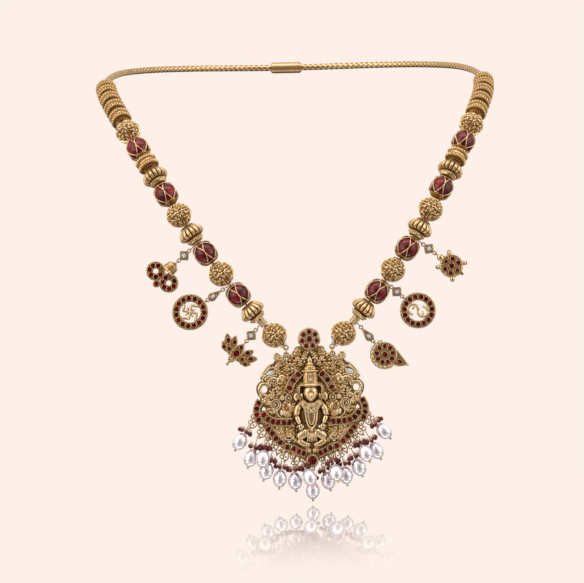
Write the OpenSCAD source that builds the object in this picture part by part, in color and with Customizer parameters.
// Temple jewellery necklace: two mirrored strings of gold and ruby beads on thread, six set
// charms, a cast pendant with a fringe of pearls, and a plain round chain behind the neck.
// Lengths are in millimetres. +X is the viewer's right, +Y goes from the pendant back to the
// neck, +Z is up, and the origin lies where the clasp rests on the nape.

/* [String] */
// Gap between two beads on the thread
bead_gap = 0.4; // [0.3:0.05:0.6]
// Gap on each side of a charm's collar
collar_gap = 0.2; // [0.15:0.05:0.3]
// Diameter of the thread
thread_d = 0.7; // [0.5:0.05:0.9]
// Play of a bore around the thread, on the radius
bore_play = 0.2; // [0.15:0.05:0.3]

/* [Openwork balls] */
// Outer diameter of a ball
ball_d = 10.4; // [9.8:0.1:10.8]
// Wall of a ball
ball_wall = 0.8; // [0.6:0.1:1.2]
// Wire of the rims round its medallions
ball_wire_d = 0.5; // [0.4:0.05:0.6]
// Half angle of a medallion, seen from the ball's centre
medallion_angle = 39; // [34:1:41]
// Diameter of the pierced holes
pierced_d = 1.5; // [1:0.1:1.8]

/* [Ruby beads] */
// Length of a ruby bead with its caps
ruby_len = 9.6; // [9.2:0.1:10]
// Diameter of a ruby bead over its wires
ruby_d = 10.4; // [9.8:0.1:10.8]
// Wire of the cage
cage_wire_d = 0.44; // [0.36:0.02:0.5]
// Wires in a cage
cage_wires = 8; // [6:1:10]
// Play between the cage and the ruby
cage_play = 0.12; // [0.08:0.02:0.2]
// Height of a pole cap
cap_h = 0.9; // [0.7:0.1:1.2]

/* [Ribbed beads] */
// Length of a ribbed bead
ribbed_len = 7.7; // [7.2:0.1:8.2]
// Diameter over the ribs
ribbed_d = 10.8; // [10:0.1:11.2]
// Ribs round a bead
ribs = 16; // [12:1:18]
// Diameter of the groove between two ribs
flute_d = 1.5; // [1:0.1:1.7]

/* [Drum beads] */
// Length of a drum bead
drum_len = 6; // [5.4:0.1:6.6]
// Diameter of a drum bead
drum_d = 9.2; // [8.6:0.1:9.8]
// Grains round each rim
drum_grains = 18; // [14:1:20]

/* [Charms] */
// Length of the collar beside the lowest bead
spacer_len = 3.2; // [2.8:0.1:3.6]
// Length of the thin collars
collar_len = 0.5; // [0.4:0.05:0.6]
// Diameter of a collar
collar_d = 2.8; // [2.4:0.1:3.2]
// Thickness of a charm's plate
charm_t = 1.4; // [1.2:0.1:1.8]
// Radius of an eye, at the middle of its wire
eye_r = 0.7; // [0.65:0.05:0.8]
// Wire of the eyes
eye_wire_d = 0.4; // [0.34:0.02:0.44]
// Side of a square link
square_side = 3.4; // [3:0.1:3.8]
// Width of a pear link
pear_w = 3.4; // [3:0.1:3.8]
// Outer radius of the ring charms
ring_charm_r = 7; // [6.6:0.1:7.4]
// Inner radius of the ring charms
ring_charm_in = 4.2; // [4:0.1:4.4]
// Stones in a ring charm
ring_stones = 15; // [12:1:15]

/* [Stones] */
// Diameter of a charm's stone
charm_stone_d = 1.9; // [1.7:0.05:1.95]
// Height of a stone
stone_h = 0.9; // [0.8:0.05:1.1]
// Width of a stone's table as a share of the stone
table_share = 0.6; // [0.5:0.05:0.7]
// Depth of a stone's seat
seat_depth = 0.6; // [0.5:0.05:0.7]
// Gap round a stone
stone_gap = 0.06; // [0.05:0.01:0.1]
// Rim round a stone
rim_t = 0.3; // [0.24:0.02:0.36]
// Height of a rim above its plate
rim_h = 0.3; // [0.2:0.05:0.4]

/* [Pendant] */
// Width of the pendant's gold
pendant_w = 45.6; // [44:0.2:47]
// Height of the pendant's gold below its hinge line
pendant_h = 47.6; // [46:0.2:49]
// Thickness of the pendant's plate
plate_t = 1.6; // [1.4:0.1:2]
// Thickness of the ears on the plate's edge
ear_t = 0.7; // [0.6:0.05:0.75]
// Depth of the figure in front of the plate
figure_h = 4; // [3.4:0.1:4.6]
// Radius of the rosette at the top
rosette_r = 4.3; // [4:0.1:4.6]
// Width of a ruby in the bands, along its band
band_stone_d = 1.75; // [1.5:0.05:1.85]
// Diameter of the large ruby at the bottom
drop_stone_d = 3.6; // [3.2:0.1:4]
// Radius of the ring that ends a string
end_ring_r = 0.9; // [0.85:0.05:1]
// Radius of a hanging ring
jump_ring_r = 1.3; // [1.25:0.05:1.4]
// Wire of the hanging rings
jump_wire_d = 0.6; // [0.5:0.02:0.62]
// Gap between two rings that hang in each other
link_gap = 0.1; // [0.08:0.02:0.14]

/* [Pearls] */
// Diameter of a pearl
pearl_d = 5.8; // [5.4:0.1:6]
// Length of a pearl
pearl_len = 7.4; // [7:0.1:7.8]
// Wire of a pearl's pin
pin_d = 0.44; // [0.36:0.02:0.46]
// Diameter of the ball under a pearl
pin_ball_d = 1; // [0.8:0.1:1.2]
// Radius of a pearl's ring
pearl_ring_r = 1.06; // [1:0.02:1.1]
// Radius of the loop on a pin
pin_loop_r = 0.8; // [0.75:0.05:0.9]
// How far the front pearls stand before the others
pearl_row_gap = 4.4; // [4.2:0.1:5]

/* [Back] */
// Plain beads on each side behind the last granulated one
back_beads = 3; // [2:1:3]
// Diameter of the round chain
chain_d = 3; // [2.4:0.1:3.4]
// Length of the clasp
clasp_len = 14; // [12:0.5:16]
// Diameter of the clasp
clasp_d = 5; // [4.6:0.1:6]

/* [Hidden] */

GOLD = "#b08d4a";
RUBY = "#5c0f1a";
PEARL = "#f0ebe6";
DIAMOND = "#dfe4ea";
THREAD = "#8a6a34";

TINY = 0.01;
FINE = 48;

// Route of the right half: points chosen by hand, from the pendant up and round to the nape
HALF_ROUTE = [
    [10.5, -124, -124], [23.2, -124, -109.6], [35.4, -123.6, -94], [46.6, -122, -78],
    [56.4, -117, -61.5], [65.2, -108.6, -46], [73.6, -97, -30.5], [79.4, -81.5, -18.5],
    [80.2, -62, -11], [75, -42, -5.6], [63, -23, -2.4], [44, -8, -0.6], [22, 0.5, 0],
    [6, 2.5, 0]
];
ROUTE_STEPS = 8;

// A point of the smooth curve between b and c
function smooth(a, b, c, d, t) =
    0.5 * (2 * b + (c - a) * t + (2 * a - 5 * b + 4 * c - d) * t * t
           + (3 * b - a - 3 * c + d) * t * t * t);

// The points, with one more before the first and after the last
function with_ends(p) =
    concat([2 * p[0] - p[1]], p, [2 * p[len(p) - 1] - p[len(p) - 2]]);

function curve_of(p) = let (q = with_ends(p)) concat(
    [for (i = [1 : len(q) - 3]) for (k = [0 : ROUTE_STEPS - 1])
        smooth(q[i - 1], q[i], q[i + 1], q[i + 2], k / ROUTE_STEPS)],
    [p[len(p) - 1]]);

curve = curve_of(HALF_ROUTE);

// Length of the curve up to each of its points
runs = [for (i = 0, s = 0; i < len(curve);
             s = s + (i + 1 < len(curve) ? norm(curve[i + 1] - curve[i]) : 0), i = i + 1) s];
route_len = runs[len(runs) - 1];

run_x = [for (i = [0 : len(curve) - 1]) [runs[i], curve[i].x]];
run_y = [for (i = [0 : len(curve) - 1]) [runs[i], curve[i].y]];
run_z = [for (i = [0 : len(curve) - 1]) [runs[i], curve[i].z]];

// The place on the route that is s from its start
function at_run(s) = [lookup(s, run_x), lookup(s, run_y), lookup(s, run_z)];

function unit(v) = v / norm(v);

// What is on a string, from the pendant up
STRING = concat(
    ["ball", "spacer", "ribbed", "ruby", "collar", "ball", "ruby", "collar", "ribbed", "ball",
     "ruby", "ribbed", "drum", "ruby", "ball", "drum", "drum"],
    [for (i = [1 : back_beads]) "back_drum"]);

function item_len(kind) =
    kind == "ball" ? ball_d : kind == "ruby" ? ruby_len : kind == "ribbed" ? ribbed_len
    : kind == "spacer" ? spacer_len : kind == "collar" ? collar_len : drum_len;

function is_collar(kind) = kind == "spacer" || kind == "collar";

function gap_between(a, b) = is_collar(a) || is_collar(b) ? collar_gap : bead_gap;

// Where each item starts on the route
starts = [for (i = 0, s = 0; i < len(STRING);
               s = s + item_len(STRING[i])
                   + (i + 1 < len(STRING) ? gap_between(STRING[i], STRING[i + 1]) : 0),
               i = i + 1) s];

function item_end(i) = starts[i] + item_len(STRING[i]);

string_end = item_end(len(STRING) - 1);

// The cap that holds the ends of the string and of the round chain
back_cap_len = 4;
cap_play = 0.12;
cap_start = string_end + bead_gap;
chain_start = cap_start + back_cap_len * 0.5;

// The numbers of the items of one kind, in order
function items(kind) = [for (i = [0 : len(STRING) - 1]) if (STRING[i] == kind) i];

CHARM_ITEMS = [for (i = [0 : len(STRING) - 1]) if (is_collar(STRING[i])) i];

bore_d = thread_d + 2 * bore_play;
wire_d_end = jump_wire_d;

// Rows and places of the string's lower end
string_dir = unit(at_run(item_len(STRING[0])) - at_run(0));
end_cap_len = 0.8;
end_ring_at = at_run(0) - string_dir * (collar_gap + end_cap_len + end_ring_r - wire_d_end / 4);
hinge = [0, end_ring_at.y, end_ring_at.z - end_ring_r];
jump_ring_drop = jump_ring_r - jump_wire_d - link_gap;
corner_hole_r = jump_wire_d * 1.25;
corner_ear_r = corner_hole_r + jump_wire_d;
corner_drop = jump_ring_drop + jump_ring_r + corner_hole_r - jump_wire_d / 2 - link_gap * 1.6;

// Puts a piece that stands on +Z, with its front at -Y, on the line from a to b
module stand(a, b) {
    w = unit(b - a);
    front = [0, -1, 0] - ([0, -1, 0] * w) * w;
    y = -unit(front);
    x = cross(y, w);
    m = (a + b) / 2;
    multmatrix([[x.x, y.x, w.x, m.x], [x.y, y.y, w.y, m.y], [x.z, y.z, w.z, m.z], [0, 0, 0, 1]])
        children();
}

// Puts a piece at the place of item i of the right string
module on_string(i) {
    stand(at_run(starts[i]), at_run(item_end(i))) children();
}

// side 1 is the viewer's right, side -1 the left
module on_side(side) {
    if (side > 0) children();
    else mirror([1, 0, 0]) children();
}

module both_sides() {
    on_side(1) children();
    on_side(-1) children();
}

// A ring of round wire in the XY plane
module wire_ring(r, wire) {
    rotate_extrude($fn = FINE) translate([r, 0]) circle(d = wire, $fn = 24);
}

// The same ring standing in the XZ plane
module front_ring(r, wire) {
    rotate([90, 0, 0]) wire_ring(r, wire);
}

// The same ring standing in the YZ plane
module side_ring(r, wire) {
    rotate([0, 90, 0]) wire_ring(r, wire);
}

// A tube of n sides along a list of points
function tube_ring(c, dir, r, n) =
    let (u = unit(cross(dir, [0, 0, 1])), v = cross(dir, u))
    [for (k = [0 : n - 1]) c + r * (cos(360 * k / n) * u + sin(360 * k / n) * v)];

function path_dir(p, i) =
    unit((i + 1 < len(p) ? unit(p[i + 1] - p[i]) : [0, 0, 0])
         + (i > 0 ? unit(p[i] - p[i - 1]) : [0, 0, 0]));

module tube(p, r, n) {
    last = len(p) - 1;
    polyhedron(
        points = [for (i = [0 : last]) each tube_ring(p[i], path_dir(p, i), r, n)],
        faces = concat(
            [[for (k = [0 : n - 1]) n - 1 - k]],
            [for (i = [0 : last - 1]) for (k = [0 : n - 1]) let (m = (k + 1) % n)
                each [[i * n + k, i * n + m, (i + 1) * n + m],
                      [i * n + k, (i + 1) * n + m, (i + 1) * n + k]]],
            [[for (k = [0 : n - 1]) last * n + k]]));
}

module bore(length) {
    cylinder(d = bore_d, h = length + 2, center = true, $fn = FINE);
}

// Gold ball with four round medallions, two at the poles, and a hole at each corner between
module openwork_ball() {
    r = ball_d / 2;
    rim_r = (r - ball_wire_d / 2) * sin(medallion_angle);
    rim_z = (r - ball_wire_d / 2) * cos(medallion_angle);
    turns = [[0, 0], [180, 0], [90, 45], [90, 135], [90, 225], [90, 315]];
    color(GOLD) difference() {
        union() {
            sphere(r = r - ball_wire_d / 2, $fn = FINE);
            for (t = turns)
                rotate([0, t[0], t[1]]) translate([0, 0, rim_z]) wire_ring(rim_r, ball_wire_d);
            for (z = [-1, 1]) mirror([0, 0, z > 0 ? 0 : 1])
                translate([0, 0, r - 2 * ball_wire_d])
                    cylinder(d = bore_d + 4 * ball_wire_d, h = 2 * ball_wire_d, $fn = FINE);
        }
        sphere(r = r - ball_wire_d / 2 - ball_wall, $fn = FINE);
        bore(ball_d);
        for (a = [45 : 90 : 315])
            rotate([90, 0, a]) translate([0, 0, ball_d / 4])
                cylinder(d = pierced_d, h = ball_d / 2, $fn = 24);
        for (a = [0 : 90 : 270]) for (tilt = [54.7, 125.3])
            rotate([0, tilt, a]) translate([0, 0, ball_d / 4])
                cylinder(d = pierced_d * 0.8, h = ball_d / 2, $fn = 24);
    }
}

cage_r = ruby_d / 2 - cage_wire_d / 2;
core_r = cage_r - cage_wire_d / 2 - cage_play;
core_len = ruby_len - 2 * (cap_h / 2 + cage_play);

module ruby_core() {
    color(RUBY) difference() {
        intersection() {
            sphere(r = core_r, $fn = FINE);
            cylinder(r = core_r, h = core_len, center = true, $fn = FINE);
        }
        bore(ruby_len);
    }
}

// Gold wires from pole to pole with a dished cap at each end
module ruby_cage() {
    shell_r = ruby_d / 2 + 0.04;
    cap_z = ruby_len / 2 - cap_h;
    reach = asin((cap_z + cap_h / 3) / cage_r);
    color(GOLD) {
        for (z = [0, 1]) mirror([0, 0, z]) difference() {
            intersection() {
                sphere(r = shell_r, $fn = FINE);
                translate([0, 0, cap_z]) cylinder(r = shell_r, h = cap_h, $fn = FINE);
            }
            sphere(r = core_r + cage_play * 0.7, $fn = FINE);
            bore(ruby_len);
        }
        for (k = [0 : cage_wires - 1])
            rotate([90, 0, 360 * k / cage_wires]) rotate([0, 0, -reach])
                rotate_extrude(angle = 2 * reach, $fn = FINE)
                    translate([cage_r, 0]) circle(d = cage_wire_d, $fn = 24);
    }
}

// Outline of a ribbed bead as shares of its length, from its lower end, and of its radius
RIBBED_OUTLINE = [
    [0, 0.42], [0, 0.52], [0.1, 0.54], [0.12, 0.62], [0.22, 0.64], [0.25, 0.55], [0.28, 0.72],
    [0.36, 0.92], [0.46, 1], [0.58, 0.97], [0.74, 0.82], [0.88, 0.62], [0.94, 0.46], [1, 0.42]
];

module ribbed_bead() {
    rib_r = ribbed_d / 2;
    color(GOLD) difference() {
        rotate_extrude($fn = FINE) polygon(concat(
            [[0, -ribbed_len / 2]],
            [for (p = RIBBED_OUTLINE) [p[1] * rib_r, (p[0] - 0.5) * ribbed_len]],
            [[0, ribbed_len / 2]]));
        bore(ribbed_len);
        for (k = [0 : ribs - 1]) rotate([0, 0, 360 * (k + 0.5) / ribs]) {
            translate([rib_r + flute_d * 0.1, 0, -0.22 * ribbed_len])
                cylinder(d = flute_d, h = ribbed_len, $fn = 24);
            translate([0.68 * rib_r, 0, -0.4 * ribbed_len])
                cylinder(d = flute_d / 2, h = 0.14 * ribbed_len, $fn = 24);
        }
    }
}

// Outline of a drum bead as shares of its length and radius
DRUM_OUTLINE = [
    [0, 0.4], [0, 0.5], [0.08, 0.56], [0.12, 0.86], [0.2, 1], [0.3, 1], [0.36, 0.84],
    [0.5, 0.78], [0.64, 0.84], [0.7, 1], [0.8, 1], [0.88, 0.86], [0.92, 0.56], [1, 0.5],
    [1, 0.4]
];

// grains is the number of notches round each rim, and 0 leaves the rims plain
module drum_bead(grains) {
    drum_r = drum_d / 2;
    notch_d = 0.5 * PI * drum_d / max(grains, 1);
    color(GOLD) difference() {
        rotate_extrude($fn = FINE) polygon(concat(
            [[0, -drum_len / 2]],
            [for (p = DRUM_OUTLINE) [p[1] * drum_r, (p[0] - 0.5) * drum_len]],
            [[0, drum_len / 2]]));
        bore(drum_len);
        if (grains > 0) for (k = [0 : grains - 1]) for (end = [0, 1])
            rotate([0, 0, 360 * (k + end / 2) / grains]) mirror([0, 0, end])
                translate([drum_r * 1.03, 0, -drum_len * 0.37])
                    cylinder(d = notch_d, h = drum_len * 0.22, $fn = 24);
    }
}

// Both threads, each from its end cap through all the bores into its back cap
thread_stops = concat(
    [at_run(0) - string_dir * (collar_gap + end_cap_len * 0.5)],
    [for (i = [0 : len(STRING) - 2]) at_run((item_end(i) + starts[i + 1]) / 2)],
    [at_run(string_end + bead_gap + back_cap_len * 0.35)]);

module thread() {
    color(THREAD) both_sides() tube(thread_stops, thread_d / 2, 6);
}

// Cap and ring at the lower end of each string
module end_caps() {
    far = at_run(0) - string_dir * (collar_gap + end_cap_len);
    near = at_run(0) - string_dir * collar_gap;
    color(GOLD) both_sides() {
        difference() {
            stand(far, near)
                cylinder(r1 = jump_wire_d, r2 = collar_d / 2, h = end_cap_len, center = true,
                         $fn = FINE);
            stand(near, near + string_dir)
                translate([0, 0, -0.5 - end_cap_len * 0.6])
                    cylinder(d = bore_d, h = end_cap_len, $fn = FINE);
        }
        translate(end_ring_at) front_ring(end_ring_r, wire_d_end);
    }
}

// Charms: side, item that carries it, hang of its link (across, down), and the link's kind
CHARM_TABLE = [
    // name              side item           link hang    link kind
    ["lotus_charm",       -1, CHARM_ITEMS[0], [-4.6, -5.2], "square"],
    ["conch_charm",        1, CHARM_ITEMS[0], [4.9, -5.9], "pear"],
    ["sign_charm",        -1, CHARM_ITEMS[1], [-6, -3.9], "pear"],
    ["scroll_ring_charm",  1, CHARM_ITEMS[1], [4.8, -4.5], "square"],
    ["scroll_charm",      -1, CHARM_ITEMS[2], [-5.6, -5], "square"],
    ["tortoise_charm",     1, CHARM_ITEMS[2], [5.9, -4.7], "square"]
];

function charm_row(name) = [for (c = CHARM_TABLE) if (c[0] == name) c][0];

// Middle of the collar that carries a charm, on its own side
function charm_joint(c) =
    let (p = (at_run(starts[c[2]]) + at_run(item_end(c[2]))) / 2) [c[1] * p.x, p.y, p.z];

function front_vec(p) = [p[0], 0, p[1]];

link_reach = eye_r * 2 - eye_wire_d - link_gap;
square_half = square_side / sqrt(2) + eye_r - eye_wire_d / 2;
pear_half = pear_w * 0.95 + eye_r - eye_wire_d / 2;

function link_half(kind) = kind == "square" ? square_half : pear_half;

// Direction of the link's hang from its joint, and the place of its middle
function hang_dir(c) = unit(front_vec(c[3]));
function link_at(c) = charm_joint(c) + front_vec(c[3]);
function carrier_eye_at(c) = link_at(c) - hang_dir(c) * (link_half(c[4]) + link_reach);
function charm_eye_at(c) = link_at(c) + hang_dir(c) * (link_half(c[4]) + link_reach);

// Puts a flat piece drawn with its top at +Z at p, its top turned against dir
module hang_at(p, dir) {
    translate(p) rotate([0, atan2(-dir.x, -dir.z), 0]) children();
}

// Direction out of the thread, square to it, nearest to the hang of a charm's link
function collar_dir(c) =
    let (along = unit(at_run(item_end(c[2])) - at_run(starts[c[2]])),
         w = [c[1] * along.x, along.y, along.z])
    unit(hang_dir(c) - (hang_dir(c) * w) * w);

// Collar on the thread with a stem between the beads and an eye at its end
module charm_carriers() {
    color(GOLD) for (c = CHARM_TABLE) {
        joint = charm_joint(c);
        eye = carrier_eye_at(c);
        on_side(c[1]) on_string(c[2]) difference() {
            cylinder(d = collar_d, h = item_len(STRING[c[2]]), center = true, $fn = FINE);
            bore(spacer_len);
        }
        stem_from = joint + collar_dir(c) * (collar_d / 2 - 0.3);
        stem_to = eye - hang_dir(c) * (eye_r - eye_wire_d / 4);
        stand(stem_from, stem_to)
            cylinder(d = eye_wire_d * 1.2, h = norm(stem_to - stem_from), center = true, $fn = 24);
        hang_at(eye, hang_dir(c)) side_ring(eye_r, eye_wire_d);
    }
}

// A setting for one stone of diameter d, whose rim stands on a face at y = 0
module collet(d) {
    rotate([90, 0, 0])
        cylinder(d = d + 2 * (stone_gap + rim_t), h = rim_h, $fn = $long ? 8 : 24);
}

module collet_seat(d) {
    translate([0, seat_depth - rim_h, 0]) rotate([90, 0, 0])
        cylinder(d = d + 2 * stone_gap, h = seat_depth + TINY, $fn = $long ? 8 : 24);
}

// A stone with a table and eight crown facets, in the seat of its collet
module cut_stone(d, h) {
    translate([0, seat_depth - rim_h - stone_gap, 0]) rotate([90, 0, 0])
        cylinder(d1 = d, d2 = d * table_share, h = h, $fn = 8);
}

// Runs the collets of a list of stones on a plate's front at y = -t / 2. Each is [x, z, width],
// and a long stone also has its length as a multiple of its width, and its turn
module each_stone(stones, t) {
    for (s = stones) {
        $stone_d = s[2];
        $long = len(s) > 3;
        translate([s[0], -t / 2, s[1]]) rotate([0, $long ? -s[4] : 0, 0])
            scale([1, 1, $long ? s[3] : 1]) children();
    }
}

// A flat plate of thickness t with its middle at y = 0, from a drawing in X and Z
module plate(t) {
    translate([0, t / 2, 0]) rotate([90, 0, 0]) linear_extrude(t) children();
}

module square_link_shape() {
    rotate(45) square(square_side, center = true);
}

// Round below and pointed above
module pear_link_shape() {
    r = pear_w / 2;
    polygon(concat(
        [[0, pear_w * 0.95]],
        [for (a = [150 : 15 : 390]) [r * cos(a), -pear_w * 0.95 + r + r * sin(a)]]));
}

link_stone_square = [[0, 0, square_side * 0.74]];
link_stone_pear = [[0, -pear_w * 0.32, pear_w * 0.56, 1.5, 0]];

// Set links, each with an eye above and below
module charm_links() {
    color(GOLD) for (c = CHARM_TABLE) {
        stones = c[4] == "square" ? link_stone_square : link_stone_pear;
        hang_at(link_at(c), hang_dir(c)) {
            difference() {
                union() {
                    plate(charm_t) {
                        if (c[4] == "square") square_link_shape();
                        else pear_link_shape();
                    }
                    each_stone(stones, charm_t) collet($stone_d);
                }
                each_stone(stones, charm_t) collet_seat($stone_d);
            }
            for (z = [-1, 1]) translate([0, 0, z * link_half(c[4])])
                front_ring(eye_r, eye_wire_d);
        }
    }
}

module link_stones() {
    color(DIAMOND) for (c = CHARM_TABLE) {
        stones = c[4] == "square" ? link_stone_square : link_stone_pear;
        hang_at(link_at(c), hang_dir(c)) each_stone(stones, charm_t) cut_stone($stone_d, stone_h);
    }
}

// Places the children of a charm with the middle of its eye at its origin
module at_charm(name) {
    c = charm_row(name);
    hang_at(charm_eye_at(c), hang_dir(c)) children();
}

// The eye at a charm's top, with a short stem down into the charm
module charm_eye(stem) {
    side_ring(eye_r, eye_wire_d);
    translate([0, 0, -eye_r + eye_wire_d / 4 - stem])
        cylinder(d = eye_wire_d * 1.6, h = stem, $fn = 24);
}

// A charm's plate with its raised collets and their seats
module set_plate(stones) {
    difference() {
        union() {
            plate(charm_t) children();
            each_stone(stones, charm_t) collet($stone_d);
        }
        each_stone(stones, charm_t) collet_seat($stone_d);
    }
}

ring_drop = ring_charm_r + eye_r - eye_wire_d / 4;
ring_mid = (ring_charm_r + ring_charm_in) / 2;
RING_SETTING = [for (k = [0 : ring_stones - 1]) let (a = 90 + 360 * (k + 0.5) / ring_stones)
    [ring_mid * cos(a), ring_mid * sin(a) - ring_drop, charm_stone_d]];

module ring_band() {
    difference() {
        circle(r = ring_charm_r, $fn = FINE);
        circle(r = ring_charm_in, $fn = FINE);
    }
}

// Four-armed auspicious sign with a dot in each quarter, inside the ring
module sign_shape() {
    bar = 0.8;
    arm = ring_charm_in * 0.66;
    square([bar, 2 * arm], center = true);
    square([2 * arm, bar], center = true);
    for (a = [0 : 90 : 270]) rotate(a) {
        translate([0, arm - bar / 2]) square([arm + bar / 2, bar]);
        translate([arm, arm - bar / 2]) square([bar, ring_charm_in - arm]);
        translate([arm * 0.5, arm * 0.45]) circle(r = bar * 0.45, $fn = 24);
        rotate(45) translate([bar, -bar * 0.3]) square([arm * 0.3, bar * 0.6]);
    }
}

// Two curls that meet in the middle, inside the ring
module scroll_shape() {
    bar = 0.7;
    curl = ring_charm_in * 0.5;
    for (a = [0, 180]) rotate(a) translate([0, curl]) {
        difference() {
            circle(r = curl + bar / 2, $fn = FINE);
            circle(r = curl - bar / 2, $fn = FINE);
            translate([-2 * curl, -2 * curl]) square([2 * curl, 2 * curl]);
        }
        translate([-curl * 0.95, 0]) circle(r = bar * 0.8, $fn = 24);
        translate([0, -bar / 2]) square([curl, bar]);
    }
}

module sign_charm() {
    color(GOLD) at_charm("sign_charm") {
        set_plate(RING_SETTING) translate([0, -ring_drop]) {
            ring_band();
            rotate(45) sign_shape();
        }
        charm_eye(eye_wire_d);
    }
}

module scroll_ring_charm() {
    color(GOLD) at_charm("scroll_ring_charm") {
        set_plate(RING_SETTING) translate([0, -ring_drop]) {
            ring_band();
            rotate(30) scroll_shape();
        }
        charm_eye(eye_wire_d);
    }
}

// Lotus: stones [x, z, diameter] and petals [x, z, length, width, turn] about the large stone
LOTUS_DROP = 5.2;
LOTUS_STONES = concat(
    [[0, -0.3, 2.4, 1.25, 0], [0, 2.8, 1.4, 1.2, 0]],
    [for (side = [-1, 1]) each [
        [side * 3.4, 2.7, 1.5, 1.6, -side * 24], [side * 5.9, 1.7, 1.5, 1.6, -side * 46],
        [side * 3.4, -0.7, 1.3, 1.5, -side * 50], [side * 5.6, -1.4, 1.3, 1.5, -side * 64]]]);
LOTUS_PETALS = concat(
    [[0, 0.2, 9, 4.4, 0]],
    [for (side = [-1, 1]) each [[side * 3.5, 2.2, 6.4, 3, -side * 24],
                                [side * 5.8, 1.4, 6.4, 3, -side * 46],
                                [side * 3.2, -0.8, 6, 2.6, -side * 50],
                                [side * 5.2, -1.2, 5.2, 2.4, -side * 64]]]);

// A petal with a point at each end: two equal arcs that cross
module petal(length, width) {
    r = (length * length / width + width) / 4;
    intersection() {
        translate([r - width / 2, 0]) circle(r = r, $fn = FINE);
        translate([width / 2 - r, 0]) circle(r = r, $fn = FINE);
    }
}

function lowered(stones, drop) = [for (s = stones) [s[0], s[1] - drop, s[2]]];

module lotus_charm() {
    color(GOLD) at_charm("lotus_charm") {
        set_plate(lowered(LOTUS_STONES, LOTUS_DROP)) translate([0, -LOTUS_DROP]) {
            for (p = LOTUS_PETALS) translate([p[0], p[1]]) rotate(p[4]) petal(p[2], p[3]);
            translate([0, -3.2]) circle(r = 1.2, $fn = 24);
        }
        translate([0, 0, -LOTUS_DROP - 6]) cylinder(d = 0.8, h = 2.4, $fn = 24);
        charm_eye(eye_wire_d);
    }
}

// Tortoise: shell, four feet, head and tail about the shell's middle
TORTOISE_DROP = 7.6;
TORTOISE_STONES = concat(
    [[0, 0, 2.2], [0, 2.9, 1.6], [0, -2.9, 1.6]],
    [for (side = [-1, 1]) each [[side * 2.6, 1.4, 1.8], [side * 2.6, -1.4, 1.8]]]);
TORTOISE_FEET = [[3.4, 3.6, -40], [-3.4, 3.6, 40], [3.8, -3.2, 220], [-3.8, -3.2, 140]];

module tortoise_charm() {
    color(GOLD) at_charm("tortoise_charm") {
        set_plate(lowered(TORTOISE_STONES, TORTOISE_DROP)) translate([0, -TORTOISE_DROP]) {
            circle(r = 4.5, $fn = FINE);
            for (foot = TORTOISE_FEET) translate([foot[0], foot[1]]) rotate(foot[2]) {
                translate([0, 0.6]) circle(r = 0.8, $fn = 24);
                translate([-0.8, -0.8]) square([1.6, 1.4]);
            }
            translate([0, -4.6]) petal(3, 1.3);
            translate([0, 5.5]) circle(r = 1.3, $fn = 24);
            translate([-0.8, 4]) square([1.6, 1.4]);
        }
        charm_eye(eye_wire_d * 2);
    }
}

// Two stone-set rings of a scroll under a bell cap
SCROLL_DROP = 5.4;
SCROLL_A = [-3.3, -8.7];
SCROLL_B = [3.8, -8.2];
SCROLL_RING_R = 3.7;
SCROLL_HOLE_R = 1.1;
SCROLL_STUB = [0.6, -12];
function ring_of_stones(c, r, from, step, count, d) =
    [for (k = [0 : count - 1]) let (a = from + step * k) [c[0] + r * cos(a), c[1] + r * sin(a), d]];
SCROLL_STONES = concat(
    ring_of_stones(SCROLL_A, 2.4, 110, 52, 6, charm_stone_d),
    ring_of_stones(SCROLL_B, 2.4, 166, 52, 6, charm_stone_d),
    [[SCROLL_STUB[0], SCROLL_STUB[1], charm_stone_d]]);

module scroll_charm() {
    color(GOLD) at_charm("scroll_charm") {
        set_plate(SCROLL_STONES) difference() {
            union() {
                translate(SCROLL_A) circle(r = SCROLL_RING_R, $fn = FINE);
                translate(SCROLL_B) circle(r = SCROLL_RING_R, $fn = FINE);
                translate(SCROLL_STUB) circle(r = 1.4, $fn = 24);
                for (c = [SCROLL_A, SCROLL_B])
                    translate((c + SCROLL_STUB) / 2) circle(r = 1.3, $fn = 24);
            }
            translate(SCROLL_A) circle(r = SCROLL_HOLE_R, $fn = FINE);
            translate(SCROLL_B) circle(r = SCROLL_HOLE_R, $fn = FINE);
        }
        translate([0, 0, -SCROLL_DROP]) cylinder(r1 = 2.9, r2 = 2.3, h = 3.2, $fn = FINE);
        translate([0, 0, -SCROLL_DROP + 3.2]) cylinder(r1 = 2.3, r2 = 0.8, h = 1.2, $fn = FINE);
        charm_eye(eye_wire_d);
    }
}

// Conch: a set flower on its side, a granulated back and a pointed tail with one stone
CONCH_DROP = 6.2;
CONCH_R = 5;
CONCH_TAIL = [4.3, -9.4];
CONCH_STONES = concat(
    [[0, 0, 2.2]],
    [for (k = [0 : 8]) let (a = 90 + 40 * k) [3.3 * cos(a), 3.3 * sin(a), 1.6, 1.35, a - 90]],
    [[2.7, -6.2, 1.5, 1.9, 24]]);

module conch_charm() {
    color(GOLD) at_charm("conch_charm") {
        set_plate(lowered(CONCH_STONES, CONCH_DROP)) translate([0, -CONCH_DROP]) {
            circle(r = CONCH_R, $fn = FINE);
            polygon([[-0.8, -4.6], [4.9, -2], [4.6, -5.4], CONCH_TAIL, [1.2, -7.2]]);
            for (a = [70 : 20 : 250]) rotate(a) translate([CONCH_R + 0.2, 0])
                circle(r = 0.8, $fn = 24);
        }
        charm_eye(eye_wire_d);
    }
}

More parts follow.
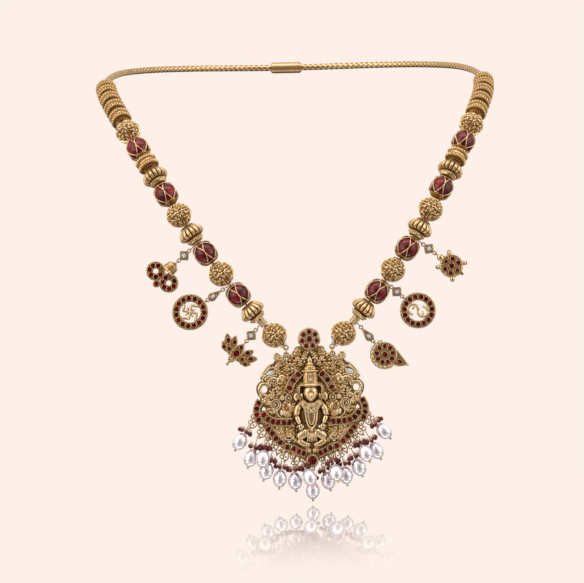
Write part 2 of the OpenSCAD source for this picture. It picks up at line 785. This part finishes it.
// The rubies of all six charms
module charm_stones() {
    settings = [
        ["sign_charm", RING_SETTING], ["scroll_ring_charm", RING_SETTING],
        ["lotus_charm", lowered(LOTUS_STONES, LOTUS_DROP)],
        ["tortoise_charm", lowered(TORTOISE_STONES, TORTOISE_DROP)],
        ["scroll_charm", SCROLL_STONES],
        ["conch_charm", lowered(CONCH_STONES, CONCH_DROP)]
    ];
    color(RUBY) for (s = settings)
        at_charm(s[0]) each_stone(s[1], charm_t) cut_stone($stone_d, stone_h);
}

// Pendant. Its tables give places as shares of half its width and of its height, measured
// from the middle of the hinge line and downwards.
function spot(u, w) = [u * pendant_w / 2, -w * pendant_h];
function spots(list) = [for (p = list) spot(p[0], p[1])];
function flipped(p) = [-p[0], p[1]];

// Right half of the plate's outline, from the rosette down to the drop at the bottom
OUTLINE = [
    [0, -0.03], [0.16, -0.03], [0.28, 0.012], [0.36, 0.058], [0.5, 0.064], [0.58, 0.075],
    [0.63, 0.1], [0.845, 0.226], [0.865, 0.255], [0.935, 0.29], [0.955, 0.33], [0.93, 0.375],
    [0.885, 0.415], [0.965, 0.445], [1, 0.49], [1, 0.55], [0.96, 0.602], [0.855, 0.635],
    [0.79, 0.7], [0.69, 0.765], [0.57, 0.8], [0.5, 0.845], [0.34, 0.895], [0.19, 0.91],
    [0.125, 0.93], [0.1, 0.972], [0.05, 0.997], [0, 1]
];

// Pierced gaps of the right half, each [across, down, radius, stretch down]
GAPS = [
    [0.815, 0.329, 1.3, 1.15], [0.83, 0.515, 0.8, 2.2], [0.52, 0.53, 0.5, 2.2],
    [0.4, 0.77, 0.7, 0.8], [0.15, 0.655, 0.5, 1], [0.62, 0.675, 0.6, 0.8]
];

// Bands of stones: height of the band before the plate, width of the band, and the places
BANDS = [
    [1.8, 3.0, [[0.21, 0.209], [0.304, 0.258], [0.371, 0.32]]],
    [1.3, 3.0, [[0.385, 0.612], [0.485, 0.613], [0.583, 0.61], [0.678, 0.6], [0.766, 0.579],
                [0.836, 0.542]]],
    [1.0, 2.7, [[0.918, 0.44], [0.957, 0.488], [0.955, 0.539], [0.93, 0.584]]],
    [1.0, 2.8, [[0.76, 0.665], [0.695, 0.7], [0.632, 0.743], [0.555, 0.779]]],
    [1.3, 2.8, [[0.437, 0.82], [0.322, 0.835], [0.233, 0.858], [0.148, 0.876]]]
];

ROSETTE_AT = spot(0, -0.088);
rosette_h = figure_h * 0.55;
ROSETTE_STONES = concat([[ROSETTE_AT[0], ROSETTE_AT[1], rosette_r * 0.56]],
    ring_of_stones(ROSETTE_AT, rosette_r * 0.69, 90, 360 / 7, 7, rosette_r * 0.45));
DROP_AT = spot(0, 0.937);
drop_h = figure_h * 0.5;

// Ears for the pearls' rings on the right half of the edge, the last at the very bottom
EARS = [[1.017, 0.558], [0.886, 0.638], [0.781, 0.723], [0.651, 0.789], [0.518, 0.851],
        [0.343, 0.905], [0.172, 0.933]];
EAR_BOTTOM = [0, 1.01];
ear_hole_r = pearl_ring_r * 0.62;
ear_r = ear_hole_r + pearl_ring_r / 2;
ear_places = concat([for (e = EARS) flipped(spot(e[0], e[1]))],
                    [spot(EAR_BOTTOM[0], EAR_BOTTOM[1])],
                    [for (i = [len(EARS) - 1 : -1 : 0]) spot(EARS[i][0], EARS[i][1])]);

corner_at = [end_ring_at.x, -corner_drop];

module at_pendant() {
    translate(hinge) children();
}

// The reliefs' radii and heights below are those of a pendant 47.6 high, and follow its height
relief = pendant_h / 47.6;

// Runs its children for each band place on both halves, stretched across the band so that the
// stone fills its width
module each_band_stone() {
    for (side = [-1, 1]) for (b = BANDS) {
        q = spots(b[2]);
        last = len(q) - 1;
        long = (b[1] * relief - 1.5 * rim_t) / (band_stone_d + 2.2 * stone_gap);
        for (i = [0 : last]) {
            run = q[min(i + 1, last)] - q[max(i - 1, 0)];
            translate([side * q[i][0], -plate_t / 2 - b[0] * relief, q[i][1]])
                rotate([0, -atan2(run[1], side * run[0]), 0]) scale([1, 1, long]) children();
        }
    }
}

module outline_shape() {
    right = spots(OUTLINE);
    polygon(concat(right, [for (i = [len(right) - 2 : -1 : 1]) flipped(right[i])]));
}

module gap_shapes() {
    for (side = [-1, 1]) for (g = GAPS) translate([side * spot(g[0], 0)[0], spot(0, g[1])[1]])
        scale([1, g[3]]) circle(r = g[2] * relief, $fn = 12);
    translate(spot(0, 0.741)) rotate(45) square(relief, center = true);
}

// A rounded bar from a to b, [across, down] shares, with a radius and its middle's depth
module limb(a, b, r, depth, share = 1) {
    pa = spot(a[0], a[1]);
    pb = spot(b[0], b[1]);
    hull() {
        translate([pa[0], -depth, pa[1]]) sphere(r = r * relief, $fn = 7);
        translate([pb[0], -depth, pb[1]]) sphere(r = r * relief * share, $fn = 7);
    }
}

// A knob of round form on the plate
module knob(p, r, depth, stretch = [1, 1, 1], n = 12) {
    q = spot(p[0], p[1]);
    translate([q[0], -depth, q[1]]) scale(stretch) sphere(r = r * relief, $fn = n);
}

// Part of a ring of wire in the plane of the plate
module curl(p, r, wire, depth, from, sweep) {
    q = spot(p[0], p[1]);
    translate([q[0], -depth, q[1]]) rotate([90, 0, 0]) rotate([0, 0, from])
        rotate_extrude(angle = sweep, $fn = 16) translate([r * relief, 0])
            circle(d = wire * relief, $fn = 5);
}

// Raised shape of height h on the plate's front
module raised_by(h) {
    translate([0, -plate_t / 2 + TINY, 0]) rotate([90, 0, 0]) linear_extrude(h) children();
}

module raised(h) {
    raised_by(h * relief) children();
}

// The seated figure: crowned head, body with a garland, four arms and crossed legs
module figure() {
    front = plate_t / 2;
    face_y = front + figure_h * 0.4;
    // Steps forward from the plate, as shares of the figure's depth
    body_y = front + figure_h * 0.15;
    arm_y = front + figure_h * 0.4;
    hand_y = front + figure_h * 0.52;
    knob([0, 0.362], 3.1, face_y, [1, 0.9, 1.16], 12);
    knob([0, 0.374], 0.8, face_y + figure_h * 0.65, [0.6, 0.8, 1.7], 8);
    knob([0, 0.398], 0.8, face_y + figure_h * 0.55, [1.3, 0.7, 0.5], 8);
    translate([0, -front - figure_h * 0.25, spot(0, 0.3)[1]]) scale(relief) {
        cylinder(r1 = 3.7, r2 = 3.4, h = 1, $fn = 14);
        translate([0, 0, 0.9]) cylinder(r1 = 3.1, r2 = 2.8, h = 4.6, $fn = 14);
        translate([0, 0, 5.4]) cylinder(r1 = 3.1, r2 = 2.9, h = 0.8, $fn = 14);
        translate([0, 0, 6.1]) cylinder(r1 = 2.6, r2 = 1.3, h = 1.6, $fn = 12);
        translate([0, 0, 7.6]) cylinder(r1 = 1.3, r2 = 0.3, h = 3, $fn = 10);
    }
    hull() for (side = [-1, 1]) {
        knob([side * 0.15, 0.462], 1.8, front + figure_h * 0.05, [1, 1, 1], 10);
        knob([side * 0.07, 0.62], 1.6, front + figure_h * 0.05, [1, 1, 1], 8);
    }
    hull() {
        knob([0, 0.43], 1.3, body_y, [1, 1, 1], 8);
        knob([0, 0.47], 1.6, body_y, [1.2, 1, 1], 8);
    }
    for (side = [-1, 1]) {
        knob([side * 0.243, 0.418], 1.9, body_y);
        knob([side * 0.16, 0.44], 1, arm_y, [1, 1, 1], 8);
        limb([side * 0.19, 0.48], [side * 0.27, 0.565], 1.25, arm_y, 0.85);
        limb([side * 0.27, 0.565], [side * 0.215, 0.625], 1.1, hand_y, 0.9);
        knob([side * 0.2, 0.64], 1.3, hand_y, [0.8, 0.6, 1], 8);
        limb([side * 0.22, 0.465], [side * 0.34, 0.5], 1.1, body_y, 0.8);
        limb([side * 0.34, 0.5], [side * 0.385, 0.42], 0.9, body_y, 0.8);
        limb([side * 0.05, 0.705], [side * 0.27, 0.765], 1.9, body_y, 0.85);
        limb([side * 0.27, 0.775], [-side * 0.03, 0.81], 1.35, body_y + figure_h * 0.1, 0.8);
        knob([side * 0.1, 0.855], 1, front, [1, 0.9, 1.3], 6);
        limb([side * 0.09, 0.655], [side * 0.12, 0.71], 1.5, body_y, 0.9);
    }
    garland = spot(0, 0.555);
    translate([0, -front - figure_h * 0.3, garland[1]]) rotate([90, 0, 0]) scale(relief) difference() {
        scale([1, 1.9, 1]) cylinder(r = 2.3, h = 1.2, $fn = 14);
        translate([0, 0, -TINY]) scale([1, 2.2, 1]) cylinder(r = 1.3, h = 2, $fn = 12);
    }
}

// What stands beside the figure on each half: elephants with raised trunks above, leaves,
// curls, fans and dots
module side_relief() {
    front = plate_t / 2;
    for (side = [-1, 1]) mirror([side > 0 ? 0 : 1, 0, 0]) {
        curl([0.815, 0.329], 2.1, 1.5, front, -70, 310);
        curl([0.215, 0.004], 1.6, 0.9, front * 0.5, -60, 220);
        curl([0.565, 0.072], 1.6, 0.9, front * 0.5, -70, 220);
        curl([0.42, 0.7], 1.9, 1.1, front, -20, 290);
        curl([0.33, 0.07], 1.5, 0.9, front, 20, 250);
        curl([0.17, 0.19], 1.3, 0.8, front, 80, 260);
        curl([0.635, 0.463], 2.1, 0.9, front * 0.9, 10, 330);
        knob([0.635, 0.463], 1.1, front * 1.2, [1, 0.8, 1], 8);
        knob([0.39, 0.411], 0.9, front * 1.4, [1, 0.8, 1], 8);
        knob([0.612, 0.291], 0.8, front * 1.4, [1, 0.8, 1], 8);
        knob([0.26, 0.12], 2.2, front, [1.15, 0.6, 1], 10);
        knob([0.47, 0.16], 2, front, [1.2, 0.6, 1.1], 10);
        knob([0.5, 0.24], 2.3, front, [1.3, 0.7, 1.2], 10);
        limb([0.55, 0.22], [0.7, 0.27], 1, front * 1.5, 0.85);
        limb([0.7, 0.27], [0.75, 0.36], 0.9, front * 1.4, 0.9);
        limb([0.52, 0.31], [0.5, 0.39], 1.7, front * 0.8, 0.85);
        limb([0.42, 0.17], [0.6, 0.105], 0.8, front, 0.8);
        limb([0.74, 0.42], [0.62, 0.53], 0.9, front, 0.8);
        raised(1.2) intersection() {
            translate(spot(0.4, 0.5)) circle(r = 3.2 * relief, $fn = 16);
            translate(spot(0.4, 0.5) + [-4, -5.1] * relief) square([8, 5.1] * relief);
        }
        raised(1.4) polygon(spots([[0.61, 0.115], [0.835, 0.228], [0.6, 0.222]]));
        for (k = [0 : 3]) knob([0.5 + k * 0.055, 0.66 - k * 0.012], 0.7, front, [1, 1, 1], 6);
    }
}

// Raised bands, the rosette and the drop that hold the stones
module settings() {
    for (side = [-1, 1]) for (b = BANDS) {
        places = spots(b[2]);
        mirror([side > 0 ? 0 : 1, 0, 0]) raised(b[0]) for (i = [0 : len(places) - 2]) hull()
            for (k = [i, i + 1]) translate(places[k]) circle(d = b[1] * relief, $fn = 8);
    }
    raised_by(rosette_h) translate(ROSETTE_AT) circle(r = rosette_r, $fn = 14);
    raised_by(drop_h) translate(DROP_AT) circle(d = drop_stone_d * 1.36, $fn = 14);
}

module plate_seats() {
    each_band_stone() collet_octagon(band_stone_d);
    for (s = ROSETTE_STONES) translate([s[0], -plate_t / 2 - rosette_h, s[1]])
        collet_octagon(s[2]);
    translate([DROP_AT[0], -plate_t / 2 - drop_h, DROP_AT[1]]) collet_octagon(drop_stone_d);
}

// A seat of eight sides for the cast plate
module collet_octagon(d) {
    translate([0, seat_depth - rim_h, 0]) rotate([90, 0, 0])
        cylinder(d = d + 2.2 * stone_gap, h = seat_depth * 2, $fn = 8);
}

// Ears on the edge, thinner than the plate, for the pearls' rings and the hanging rings
module ear_holes(t) {
    plate(t) {
        for (e = ear_places) translate(e) circle(r = ear_hole_r, $fn = 10);
        for (side = [-1, 1]) translate([side * corner_at[0], corner_at[1]])
            circle(r = corner_hole_r, $fn = 14);
    }
}

module ears() {
    plate(ear_t) {
        for (e = ear_places) translate(e) circle(r = ear_r, $fn = 10);
        for (side = [-1, 1]) translate([side * corner_at[0], corner_at[1]])
            circle(r = corner_ear_r, $fn = 14);
    }
}

module pendant_plate() {
    color(GOLD) at_pendant() difference() {
        union() {
            plate(plate_t) {
                difference() {
                    outline_shape();
                    gap_shapes();
                }
                translate(ROSETTE_AT) circle(r = rosette_r * 0.95, $fn = 14);
            }
            ears();
            settings();
            figure();
            side_relief();
        }
        ear_holes(plate_t + 1);
        plate_seats();
    }
}

module pendant_rubies() {
    color(RUBY) at_pendant() {
        each_band_stone() cut_stone(band_stone_d, stone_h);
        for (s = ROSETTE_STONES) translate([s[0], -plate_t / 2 - rosette_h, s[1]])
            cut_stone(s[2], stone_h);
        translate([DROP_AT[0], -plate_t / 2 - drop_h, DROP_AT[1]])
            cut_stone(drop_stone_d, stone_h * 1.4);
    }
}

// Rings that hang the pendant's corner ears in the strings' end rings
module jump_rings() {
    color(GOLD) both_sides() translate([end_ring_at.x, hinge.y, hinge.z - jump_ring_drop])
        side_ring(jump_ring_r, jump_wire_d);
}

// Pearls from the left, each [across, down, row], as shares, row 1 standing in front
PEARL_TABLE = [
    [-1.265, 0.765, 0], [-1.08, 0.908, 0], [-0.873, 0.908, 1], [-0.81, 1.02, 0],
    [-0.574, 1.088, 0], [-0.308, 1.113, 0], [-0.063, 1.075, 1], [0, 1.195, 0],
    [0.274, 1.118, 0], [0.404, 1.045, 1], [0.592, 1.076, 0], [0.828, 1.012, 0],
    [0.936, 0.887, 1], [1.143, 0.874, 0], [1.289, 0.711, 0]
];

// Which ear each pearl hangs from
function pearl_ear(i) = [ear_places[i][0], 0, ear_places[i][1]];
function pearl_at(i) = let (p = PEARL_TABLE[i], q = spot(p[0], p[1]))
    [q[0], pearl_d * 0.1 - p[2] * pearl_row_gap, q[1]];
function pearl_dir(i) = unit(pearl_at(i) - pearl_ear(i));
pearl_ring_off = pearl_ring_r;
pin_loop_off = pearl_ring_off + pearl_ring_r - pin_d - link_gap + pin_loop_r;

// Puts a piece with its top at +Z on pearl i's line, at the distance off from its ear
module on_pearl_line(i, off) {
    c = pearl_ear(i) + pearl_dir(i) * off;
    stand(c, c - pearl_dir(i)) translate([0, 0, -0.5]) children();
}

module pearl_rings() {
    color(GOLD) at_pendant() for (i = [0 : len(PEARL_TABLE) - 1])
        on_pearl_line(i, pearl_ring_off) side_ring(pearl_ring_r, pin_d);
}

// Pins with a loop above and a ball below
module pearl_pins() {
    color(GOLD) at_pendant() for (i = [0 : len(PEARL_TABLE) - 1]) {
        reach = norm(pearl_at(i) - pearl_ear(i));
        top = pin_loop_off + pin_loop_r - pin_d / 4;
        bottom = reach + pearl_len / 2 + pin_ball_d * 0.4;
        on_pearl_line(i, pin_loop_off) {
            front_ring(pin_loop_r, pin_d);
            translate([0, 0, pin_loop_off - bottom])
                cylinder(d = pin_d * 0.86, h = bottom - top, $fn = 24);
            translate([0, 0, pin_loop_off - bottom])
                rotate([90, 0, 0]) sphere(d = pin_ball_d, $fn = 24);
        }
    }
}

// Outline of a pearl as shares of its length, from its top, and of its radius
PEARL_OUTLINE = [[0, 0.14], [0.03, 0.3], [0.12, 0.56], [0.26, 0.8], [0.42, 0.95], [0.58, 1],
                 [0.74, 0.93], [0.87, 0.72], [0.96, 0.42], [1, 0.14]];

module pearl() {
    difference() {
        rotate_extrude($fn = FINE) polygon(concat(
            [[0, pearl_len / 2]],
            [for (p = PEARL_OUTLINE) [p[1] * pearl_d / 2, (0.5 - p[0]) * pearl_len]],
            [[0, -pearl_len / 2]]));
        cylinder(d = pin_d + 2 * bore_play, h = pearl_len + 2, center = true, $fn = 24);
    }
}

module pearls() {
    color(PEARL) at_pendant() for (i = [0 : len(PEARL_TABLE) - 1])
        on_pearl_line(i, norm(pearl_at(i) - pearl_ear(i))) pearl();
}

module back_drums(side) {
    on_side(side) for (i = items("back_drum")) on_string(i) drum_bead(0);
}

// A cap over the end of the string and of the chain
module back_caps() {
    color(GOLD) both_sides() stand(at_run(cap_start), at_run(cap_start + back_cap_len))
        difference() {
            cylinder(r1 = collar_d / 2 + 0.6, r2 = chain_d / 2 + 0.8, h = back_cap_len,
                     center = true, $fn = FINE);
            bore(back_cap_len);
            translate([0, 0, -0.05 * back_cap_len])
                cylinder(r = chain_d / 2 + cap_play, h = back_cap_len, $fn = FINE);
        }
}

CHAIN_STEP = 7;
chain_len = route_len - chain_start;
chain_count = ceil(chain_len / CHAIN_STEP);
cap_dir = unit(at_run(cap_start + back_cap_len) - at_run(cap_start));
chain_stops = concat(
    [at_run(cap_start) + cap_dir * (back_cap_len * 0.5), at_run(cap_start) + cap_dir * back_cap_len],
    [for (k = [2 : chain_count - 1]) at_run(chain_start + chain_len * k / chain_count)],
    [at_run(route_len)]);

module back_chain(side) {
    color(GOLD) on_side(side) tube(chain_stops, chain_d / 2, 10);
}

// A plain barrel on the nape, bored for the chain's ends
module clasp() {
    color(GOLD) translate([0, clasp_d / 2, 0]) rotate([0, 90, 0]) difference() {
        union() {
            cylinder(d = clasp_d, h = clasp_len - 1, center = true, $fn = FINE);
            cylinder(d = clasp_d - 1, h = clasp_len, center = true, $fn = FINE);
        }
        for (z = [-1, 1]) translate([0, 0, z * clasp_len / 2])
            cylinder(d = chain_d + 2 * cap_play, h = 6, center = true, $fn = FINE);
    }
}

// A numbered bead of one kind, counted from the pendant
module bead(kind, n, side) {
    on_side(side) on_string(items(kind)[n - 1]) {
        if (kind == "ball") openwork_ball();
        else if (kind == "ruby") ruby_core();
        else if (kind == "ribbed") ribbed_bead();
        else drum_bead(drum_grains);
    }
}

for (kind = ["ball", "ruby", "ribbed", "drum"]) for (n = [1 : len(items(kind))])
    for (side = [[-1, "_l"], [1, "_r"]])
        bead(kind, n, side[0]);
on_side(-1) for (i = items("ruby")) on_string(i) ruby_cage();  // ruby_cages_left
on_side(1) for (i = items("ruby")) on_string(i) ruby_cage();  // ruby_cages_right
thread();
end_caps();
charm_carriers();
charm_links();
link_stones();
scroll_charm();
sign_charm();
lotus_charm();
tortoise_charm();
scroll_ring_charm();
conch_charm();
charm_stones();
pendant_plate();
pendant_rubies();
jump_rings();
pearl_rings();
pearl_pins();
pearls();
back_drums(-1);  // back_drums_left
back_drums(1);  // back_drums_right
back_caps();
back_chain(-1);  // back_chain_left
back_chain(1);  // back_chain_right
clasp();
